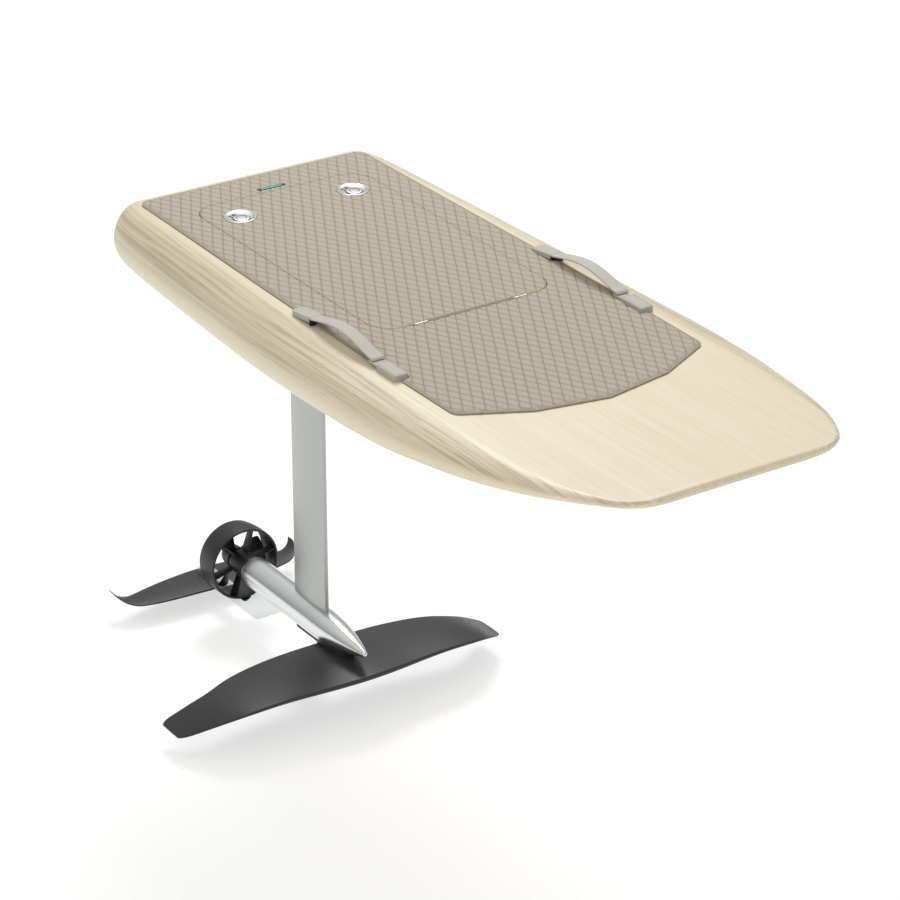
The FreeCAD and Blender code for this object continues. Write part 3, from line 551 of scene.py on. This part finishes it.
# Traction pads, in mm: heights, the lattice of cells, the seam round the hatch, and the latch holes.
# The cells' spacing is across the grooves; their places list the rows of the grid over one cell.
pads = {
    "seat": 95.5,
    "top": 101.0,
    "grooveFloor": 98.9,
    "depthBelowSeat": 4.0,
    "cellAlong": 21.85,
    "cellAcross": 12.0,
    "phase": (0.0, 0.0),
    "spacing": 21.0,
    "cellCorner": 3.2,
    "wallWidth": 2.2,
    "gridPlaces": (0.0, 1.9, 3.0, 4.1, 5.6, 15.4, 16.9, 18.0, 19.1),
    "gridReach": 48,
    "rim": 6.0,
    "rimFade": 2.0,
    "seamFront": 21.0,
    "hatchLength": 741.0,
    "hatchHalf": 206.0,
    "hatchCorner": 52.0,
    "halfGap": 1.0,
    "edgeGap": 0.5,
    "latchGap": 0.5,
    "sharpFrom": 55,
    "over": 200,
}
latch = {"x": -633.0, "halfSpacing": 137.0, "radius": 35.0}


def hatchOutline(offset):
    # Hatch seam moved out by offset, with its corners' radius growing alike
    rear = pads["seamFront"] - pads["hatchLength"] - offset
    front = pads["seamFront"] + offset
    reach = pads["hatchHalf"] + offset
    return roundedBox(rear, front, -reach, reach, pads["hatchCorner"] + offset, 14)


def padOutline(grow):
    # Outer edge of the deck pad: long sides slightly bowed, three straight facets a side at the front
    side = [(-821.0 - grow, -274.0 - grow, 22.0), (130.0, -288.0 - grow, 0), (394.0, -284.0 - grow, 26.0),
            (462.0 + grow, -150.0 - grow, 0), (490.0 + grow, 0, 0)]
    other = [(x, -y, r) for x, y, r in side[-2::-1]]
    return roundedOutline(side + other)


def mouthOutline():
    # Wide part of the front seam, where the hinges lie
    front = pads["seamFront"]
    side = [(front - 5.5, -128), (front - 1, -166), (front + 1, -166), (front + 6.2, -128)]
    other = [(x, -y) for x, y in side[::-1]]
    return np.array(side + other, float)


cutWith(board, [
    prism(hatchOutline(hull["rebateGrow"]), hull["rebateFloor"], pads["over"]),
    prism(roundedBox(*hull["bay"][:5]), *hull["bay"][5:]),
    prism(padOutline(pads["edgeGap"]), pads["seat"], pads["over"]),
    prism(roundedBox(*hull["plateSeat"][:5]), *hull["plateSeat"][5:]),
])


def grainMap(points):
    # Along the board, girth from the deck's middle over the rail, and the rail's place: 1 at the
    # deck's edge, 0.5 at the widest line, 0 at the bottom's edge. Behind the middle the girth
    # starts from one width, so the grain turns with the tail's corners.
    tailStart = -0.35
    arcStretch = 1.2
    share = np.clip(points[:, 0] * 2000 / hull["length"], -1, 1)
    reach, top, bottom, shoulder, tuck, apex = stationsAt(share)
    steady = stationsAt(np.maximum(share, tailStart))
    side = np.abs(points[:, 1]) * 1000
    z = points[:, 2] * 1000
    upper = z >= apex
    width = np.where(upper, shoulder, tuck)
    height = np.where(upper, top - apex, apex - bottom)
    out = (side - (reach - width)) / width
    lift = (z - apex) / height
    angle = np.clip(np.arctan2(lift, np.maximum(out, 1e-6)), -math.pi / 2, math.pi / 2)
    place = 0.5 + angle / math.pi
    edge = steady[0] - steady[3]
    arc = arcStretch * np.hypot(steady[3], steady[1] - steady[5]) * (1 - place) * 2
    flat = np.minimum(side, reach - shoulder)
    shift = np.where(share < tailStart, edge - (reach - shoulder), 0)
    girth = np.where(place > 0.999, flat + shift, edge + arc)
    girth = np.where((z < apex) & (out <= 0), -side, girth)
    place = np.where(out <= 0, np.where(upper, 1, 0), place)
    return np.stack([points[:, 0], girth / 1000 * np.sign(points[:, 1] + 1e-9), place], axis=1)


def readPoints(mesh):
    flat = np.empty(len(mesh.vertices) * 3)
    mesh.vertices.foreach_get("co", flat)
    return flat.reshape(-1, 3)


grain = board.data.attributes.new("grain", "FLOAT_VECTOR", "POINT")
grain.data.foreach_set("vector", grainMap(readPoints(board.data)).ravel())
smooth(board, hull["sharpFrom"])
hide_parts("hull")
print("board:", len(board.data.polygons), "faces")


def distanceTo(outline, points):
    # Least distance from each point to the outline's straight pieces
    best = np.full(len(points), 1e9)
    for a, b in zip(outline, np.roll(outline, -1, axis=0)):
        run = b - a
        t = np.clip((points - a) @ run / (run @ run), 0, 1)
        best = np.minimum(best, np.hypot(*(points - a - t[:, None] * run).T))
    return best


def cellHeight(points, rimOutline):
    # Rhombic cells: with a and b counted along the two groove directions, a cell is 1 in its middle
    # and 0 in the groove, with its corners rounded, and it fades out over the rim
    p = (points - pads["phase"]) / [2 * pads["cellAlong"], 2 * pads["cellAcross"]]
    a = p[:, 0] + p[:, 1]
    b = p[:, 0] - p[:, 1]
    inA = (0.5 - np.abs(a - np.floor(a) - 0.5)) * pads["spacing"]
    inB = (0.5 - np.abs(b - np.floor(b) - 0.5)) * pads["spacing"]
    corner = pads["cellCorner"]
    near = np.hypot(np.maximum(corner + 2 - inA, 0), np.maximum(corner + 2 - inB, 0))
    rise = np.clip((corner - near) / pads["wallWidth"] + 1.0, 0, 1)
    rise = rise * rise * (3 - 2 * rise)
    fade = np.clip((distanceTo(rimOutline, points) - pads["rim"]) / pads["rimFade"], 0, 1)
    return rise * fade


def latticeSheet(name, low, high, body):
    # Skewed grid that follows the grooves, so each cell's flat top and walls have their own rows
    reach = pads["gridReach"]
    margin = 6
    stops = np.array(pads["gridPlaces"]) / pads["spacing"]
    line = (np.arange(-reach, reach)[:, None] + stops[None, :]).ravel()
    a, b = np.meshgrid(line, line, indexing="ij")
    x = (a + b) * pads["cellAlong"] + pads["phase"][0]
    y = (a - b) * pads["cellAcross"] + pads["phase"][1]
    points = np.stack([x, y], axis=-1)
    middle = (points[:-1, :-1] + points[1:, 1:]) / 2
    keep = ((middle > np.array(low) - margin) & (middle < np.array(high) + margin)).all(axis=-1)
    index = np.arange(line.size ** 2).reshape(line.size, line.size)
    quads = np.stack([index[:-1, :-1], index[:-1, 1:], index[1:, 1:], index[1:, :-1]], axis=-1)[keep]
    used = np.unique(quads)
    fresh = np.full(line.size ** 2, -1)
    fresh[used] = np.arange(used.size)
    quads = fresh[quads]
    flat = points.reshape(-1, 2)[used]
    z = pads["grooveFloor"] + (pads["top"] - pads["grooveFloor"]) * cellHeight(flat, padOutline(0))
    top = np.column_stack([flat, z])
    bottom = np.column_stack([flat, np.full(len(flat), pads["seat"] - pads["depthBelowSeat"])])
    # Boundary edges are used by one quad only
    edges = np.concatenate([quads[:, [i, (i + 1) % 4]] for i in range(4)])
    _, first, counts = np.unique(np.sort(edges, axis=1), axis=0, return_index=True, return_counts=True)
    border = edges[first[counts == 1]]
    count = len(flat)
    walls = np.column_stack([border[:, 1], border[:, 0], border[:, 0] + count, border[:, 1] + count])
    faces = np.concatenate([quads, quads[:, ::-1] + count, walls])
    piece = addMesh(name, np.concatenate([top, bottom]) / 1000, faces, "foam_pad", body)
    outwards(piece)
    return piece


def through(outline):
    # Block that cuts right through a pad
    return prism(outline, 50, 150)


# Holes for the status light and for the four anchor blocks, in mm
lightHole = {"x": -739.0, "half": 6.0, "reach": 34.5, "corner": 5.9}
anchorHole = {"places": [(-163.0, -95.0), (154.0, 222.0)], "y": 283, "half": 17, "corner": 8}
deckPad = latticeSheet("deck_foam", (-822, -290), (491, 290), "board")
cutWith(deckPad, [prism(padOutline(0), pads["seat"], 120)], "INTERSECT")
lightX = lightHole["x"]
holes = [through(hatchOutline(pads["halfGap"])), through(mouthOutline()),
         through(roundedBox(lightX - lightHole["half"], lightX + lightHole["half"],
                            -lightHole["reach"], lightHole["reach"], lightHole["corner"]))]
for x0, x1 in anchorHole["places"]:
    for side in (1, -1):
        y = side * anchorHole["y"]
        holes.append(through(roundedBox(x0, x1, y - anchorHole["half"], y + anchorHole["half"],
                                        anchorHole["corner"])))
cutWith(deckPad, holes)
print("deck pad:", len(deckPad.data.polygons), "faces")

hatchPad = latticeSheet("hatch_foam", (-722, -207), (22, 207), "hatch")
cutWith(hatchPad, [prism(hatchOutline(-pads["halfGap"]), pads["seat"], 120)], "INTERSECT")
ring = np.linspace(0, 2 * math.pi, 64, endpoint=False)
disc = np.stack([np.cos(ring), np.sin(ring)], axis=1)
holes = [through(mouthOutline())]
for side in (1, -1):
    spot = [latch["x"], side * latch["halfSpacing"]]
    holes.append(through(disc * (latch["radius"] + pads["latchGap"]) + spot))
cutWith(hatchPad, holes)
print("hatch pad:", len(hatchPad.data.polygons), "faces")

for pad in (deckPad, hatchPad):
    # Height share of each point; the foam's colour uses it for the painted shade in the grooves
    heights = readPoints(pad.data)[:, 2] * 1000
    raised = np.clip((heights - pads["grooveFloor"]) / (pads["top"] - pads["grooveFloor"]), 0, 1)
    layer = pad.data.attributes.new("raised", "FLOAT", "POINT")
    layer.data.foreach_set("value", raised)
    smooth(pad, pads["sharpFrom"])
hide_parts("deck_pad")
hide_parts("hatch_pad")


def roundedSlab(name, outlineAt, rows, slotName, body, lift=None):
    # Rings of one outline: each row is an inset and a height, so an edge's radius is a few rows.
    # lift adds a height that depends on place, for a sloping top.
    rings = []
    for inset, height in rows:
        ring = outlineAt(inset)
        z = np.full(len(ring), float(height))
        if lift is not None:
            z = z + lift(ring)
        rings.append(np.column_stack([ring, z]))
    points = np.concatenate(rings) / 1000
    piece = addMesh(name, points, tubeFaces(len(rows), len(rings[0])), slotName, body)
    outwards(piece)
    smooth(piece, 40)
    return piece


def quarterRound(radius, top, steps=5):
    # Inset and height down a quarter circle edge, from the wall up to the flat top
    turn = np.linspace(0, math.pi / 2, steps)
    return list(zip(radius * (1 - np.cos(turn)), top - radius * (1 - np.sin(turn))))


# Carry handles, in mm: the strap's band, its lower layer, the anchor at each end and the slit in the
# rear one. Rows are insets and heights from the foot up.
handle = {
    "y": 283.0,
    "anchorHalf": 16,
    "anchorFoot": [(2.0, 95.6), (0, 96.2)],
    "rearStart": -160.0,
    "rearEnd": -91.0,
    "rearCorner": 9,
    "rearTop": 106.0,
    "rearRound": 2.6,
    "rearRise": 6.5,
    "rearRiseLength": 60,
    "slit": (-93.0, -87.5),
    "slitHalf": 14.6,
    "slitShadowRows": [(0, 96.5), (0, 110.6), (0.4, 111.0)],
    "frontStart": 147.0,
    "frontEnd": 217.0,
    "frontCorner": 7,
    "frontTop": 109.0,
    "frontRound": 2.2,
    "frontGroove": [(3.4, 109.0), (3.9, 108.4), (4.4, 108.4), (4.9, 109.1)],
    "strapStart": -100.0,
    "strapEnd": 136.0,
    "strapWidth": 29.0,
    "strapThickness": 4.4,
    "strapLow": 108.5,
    "strapRise": 19.5,
    "foldStart": 121,
    "foldThickness": 1.6,
    "alongSteps": 90,
    "aroundSteps": 36,
    "lower": (120, 150),
    "lowerHalf": 14,
    "lowerRows": [(1, 101.5), (0, 102.2), (0, 105.5), (0.8, 106.3)],
}


def strapSurface(side):
    # t runs along the strap, angle once round its section; the arch is a sine to the power 1.25
    # and the section a flat rounded oblong, thicker where the front end is folded over
    t = np.linspace(0, 1, handle["alongSteps"])[:, None]
    angle = np.linspace(0, 2 * math.pi, handle["aroundSteps"], endpoint=False)[None, :]
    x = handle["strapStart"] + (handle["strapEnd"] - handle["strapStart"]) * t
    arch = handle["strapRise"] * np.sin(math.pi * t) ** 1.25
    fold = 1 / (1 + np.exp(-(x - handle["foldStart"]) / 0.7)) * handle["foldThickness"]
    slope = np.gradient(arch[:, 0], x[:, 0])[:, None]
    across = handle["strapWidth"] / 2 * np.sign(np.cos(angle)) * np.abs(np.cos(angle)) ** 0.30
    thick = handle["strapThickness"] / 2 * np.sign(np.sin(angle)) * np.abs(np.sin(angle)) ** 0.55
    crown = 1 - 0.10 * (across / handle["strapWidth"] * 2) ** 4
    thick = thick * crown + np.where(np.sin(angle) > 0, fold, 0)
    end = np.minimum(np.minimum(t, 1 - t) / 0.006, 1) ** 0.5
    bend = 1 / np.sqrt(1 + slope**2)
    sideways = side * handle["y"] + across * (0.94 + 0.06 * end)
    height = handle["strapLow"] + arch + thick * bend * end
    return np.stack([x - thick * slope * bend, sideways, height], axis=-1) / 1000


for side, name in ((1, "port"), (-1, "starboard")):
    y = side * handle["y"]
    bandFaces = tubeFaces(handle["alongSteps"], handle["aroundSteps"])
    strap = addMesh("strap_%s_band" % name, strapSurface(side), bandFaces, "strap_webbing")
    outwards(strap)
    smooth(strap, 50)
    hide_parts("strap_" + name)

    def rearOutline(inset):
        reach = handle["anchorHalf"] - inset
        return roundedBox(handle["rearStart"] + inset, handle["rearEnd"] - inset * 0.4,
                          y - reach, y + reach, max(handle["rearCorner"] - inset, 1.0))

    def rearLift(ring):
        # The tongue rises from the pad to the slit, flat at both ends
        t = np.clip((ring[:, 0] - handle["rearStart"]) / handle["rearRiseLength"], 0, 1)
        return handle["rearRise"] * t * t * (3 - 2 * t)

    def slitShadowOutline(inset):
        reach = handle["slitHalf"] - inset
        return roundedBox(handle["slit"][0] + inset, handle["slit"][1] - inset, y - reach, y + reach, 1.2, 4)

    def frontOutline(inset):
        reach = handle["anchorHalf"] - inset
        return roundedBox(handle["frontStart"] + inset, handle["frontEnd"] - inset,
                          y - reach, y + reach, max(handle["frontCorner"] - inset, 1.0))

    def lowerOutline(inset):
        reach = handle["lowerHalf"] - inset
        return roundedBox(handle["lower"][0] + inset, handle["lower"][1] - inset, y - reach, y + reach, 2, 4)

    rows = handle["anchorFoot"] + quarterRound(handle["rearRound"], handle["rearTop"])
    rear = roundedSlab("anchor_rear_%s_tongue" % name, rearOutline, rows, "anchor_rubber", "board", rearLift)
    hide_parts("anchor_rear_" + name)
    # Painted shade: a dark rubber block fills the slit where the strap goes in, standing for the shadow
    # inside it
    roundedSlab("strap_slit_shadow_" + name, slitShadowOutline, handle["slitShadowRows"], "seal_rubber", "board")
    rows = handle["anchorFoot"] + quarterRound(handle["frontRound"], handle["frontTop"])
    rows = rows + handle["frontGroove"]
    front = roundedSlab("anchor_front_%s_pad" % name, frontOutline, rows, "anchor_rubber", "board")
    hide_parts("anchor_front_" + name)
    # The strap's lower layer, which runs on into the front anchor
    roundedSlab("strap_lower_" + name, lowerOutline, handle["lowerRows"], "strap_webbing", "board")
    print("handle", name)

# Thin seal strips that fill the wide part of the front seam, one on each side of its line
sealReach = 127
sealRows = [(0, 95.6), (0, 96.6), (0.4, 97.0)]
for label, body, x0, x1 in (("hatch", "hatch", 16.0, 19.7), ("deck", "board", 22.3, 26.8)):
    def sealOutline(inset):
        return roundedBox(x0 + inset, x1 - inset, -sealReach + inset, sealReach - inset, 1.2, 4)

    roundedSlab("seam_seal_" + label, sealOutline, sealRows, "foam_pad", body)

# Latch, in mm: satin disc with a keyhole-shaped turning lever, a dark oval dial and three ribs, and a dark
# band round the lever that is painted shade for the gap round it.
# Rows are insets and heights over the disc's top, from the foot up.
latchParts = {
    "top": 102.6,
    "discRows": [(1.0, -18.4), (0, -17.6), (0, -1.6), (0.5, -0.6), (1.4, 0), (4.2, -0.1), (5.2, -0.9),
                 (9.0, -1.6), (34.9, -1.6)],
    "dialOffset": (9.0, -2.0),
    "dial": 11.5,
    "dialRows": [(0, -0.4), (0, 0.15), (0.5, 0.3), (2.4, -0.2), (11.4, -0.4)],
    "lever": 17.5,
    "leverRows": [(0, -1.8), (0, -0.5), (0.3, -0.15), (0.9, 0)],
    "leverGap": 1.7,
    "gapShadowRows": [(0, -1.9), (0, -1.45), (0.2, -1.4)],
    "tabLength": 29.0,
    "tabWidth": 19.0,
    "tabAngle": 197.0,
    "ribPlaces": (16.5, 20.5, 24.5),
    "ribRadius": 1.1,
    "ribLength": 5.5,
    "ribWidth": 1.6,
    "ribRows": [(0, -0.3), (0, 0.3), (0.2, 0.4)],
}


def keyhole(centre, turn, radius, reach, width, grow=0.0):
    # Round head with a straight tab, as a polygon: the arc stops where the tab's sides leave it
    half = (width + 2 * grow) / 2
    head = radius + grow
    stop = math.asin(min(half / head, 0.95))
    angles = np.linspace(stop, 2 * math.pi - stop, 40)
    arc = np.stack([head * np.cos(angles), head * np.sin(angles)], axis=1)
    bevel = 2
    tip = np.array([[reach + grow - bevel, -half], [reach + grow, -half + bevel],
                    [reach + grow, half - bevel], [reach + grow - bevel, half]])
    outline = np.concatenate([arc, tip])
    spin = math.radians(turn)
    turned = outline @ np.array([[math.cos(spin), math.sin(spin)], [-math.sin(spin), math.cos(spin)]])
    return turned + centre


def latchRows(name):
    return [(inset, latchParts["top"] + height) for inset, height in latchParts[name]]


spin = math.radians(latchParts["tabAngle"])
tabWay = np.array([math.cos(spin), math.sin(spin)])
for side, name in ((1, "port"), (-1, "starboard")):
    centre = np.array([latch["x"], side * latch["halfSpacing"]])
    dialCentre = centre + latchParts["dialOffset"]

    def discOutline(inset):
        return disc * (latch["radius"] - inset) + centre

    def leverOutline(inset):
        return keyhole(dialCentre, latchParts["tabAngle"], latchParts["lever"], latchParts["tabLength"],
                       latchParts["tabWidth"], -inset)

    def gapShadowOutline(inset):
        return leverOutline(inset - latchParts["leverGap"])

    def dialOutline(inset):
        return disc * (latchParts["dial"] - inset) + dialCentre

    cup = roundedSlab("latch_disc_" + name, discOutline, latchRows("discRows"), "satin_steel", "hatch")
    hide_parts("latch_cup_" + name)
    # Painted shade: a dark band just over the dish, round the lever, stands for the shadow in the gap
    roundedSlab("latch_gap_shadow_" + name, gapShadowOutline, latchRows("gapShadowRows"), "black_moulding", "hatch")
    lever = roundedSlab("latch_key_" + name, leverOutline, latchRows("leverRows"), "satin_steel", "hatch")
    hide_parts("latch_lever_" + name)
    roundedSlab("latch_dial_" + name, dialOutline, latchRows("dialRows"), "black_moulding", "hatch")
    for k, far in enumerate(latchParts["ribPlaces"]):
        def ribOutline(inset):
            return keyhole(dialCentre + tabWay * far, latchParts["tabAngle"] + 90, latchParts["ribRadius"],
                           latchParts["ribLength"] - k, latchParts["ribWidth"], -inset)

        ribRows = latchRows("ribRows")
        roundedSlab("latch_rib_%s_%d" % (name, k), ribOutline, ribRows, "black_moulding", "hatch")
print("latches ready")
